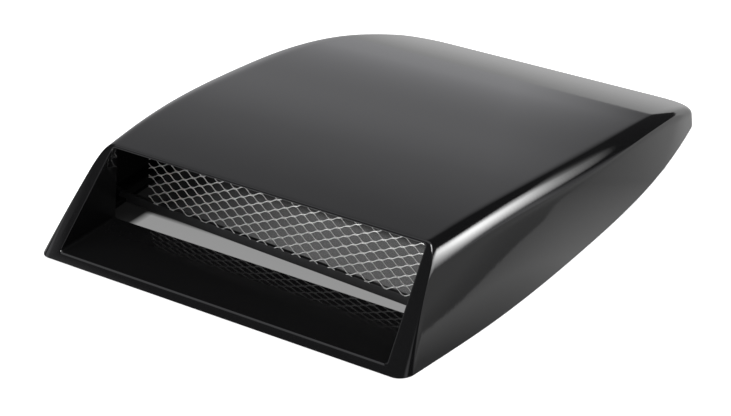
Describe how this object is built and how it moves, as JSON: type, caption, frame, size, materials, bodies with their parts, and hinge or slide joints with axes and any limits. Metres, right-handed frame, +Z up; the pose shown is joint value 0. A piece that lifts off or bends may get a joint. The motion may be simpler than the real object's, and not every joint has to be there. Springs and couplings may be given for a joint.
{
  "type": "car bonnet air scoop",
  "caption": "Stick-on car bonnet air scoop: a hollow moulded hump with a raked mouth, a short duct and an expanded metal grille behind it.",
  "frame": {"origin": "middle of the footprint on the bonnet, at the underside of the tape", "axes": "+X across the car, +Y from the mouth towards the tail, +Z up, away from the bonnet"},
  "size_m": [0.2694, 0.3856, 0.0557],
  "materials": {
    "shell_plastic": "black, polished as moulded",
    "grille_metal": "bright expanded sheet, uncoated",
    "rail_plastic": "black, as moulded",
    "foam_tape": "dark closed-cell foam"
  },
  "bodies": {
    "root": {"scoop_shell": "shell_plastic", "grille_mesh": "grille_metal", "grille_rail": "rail_plastic", "tape_front": "foam_tape", "tape_left": "foam_tape", "tape_right": "foam_tape", "tape_tail": "foam_tape"}
  },
  "joints": []
}
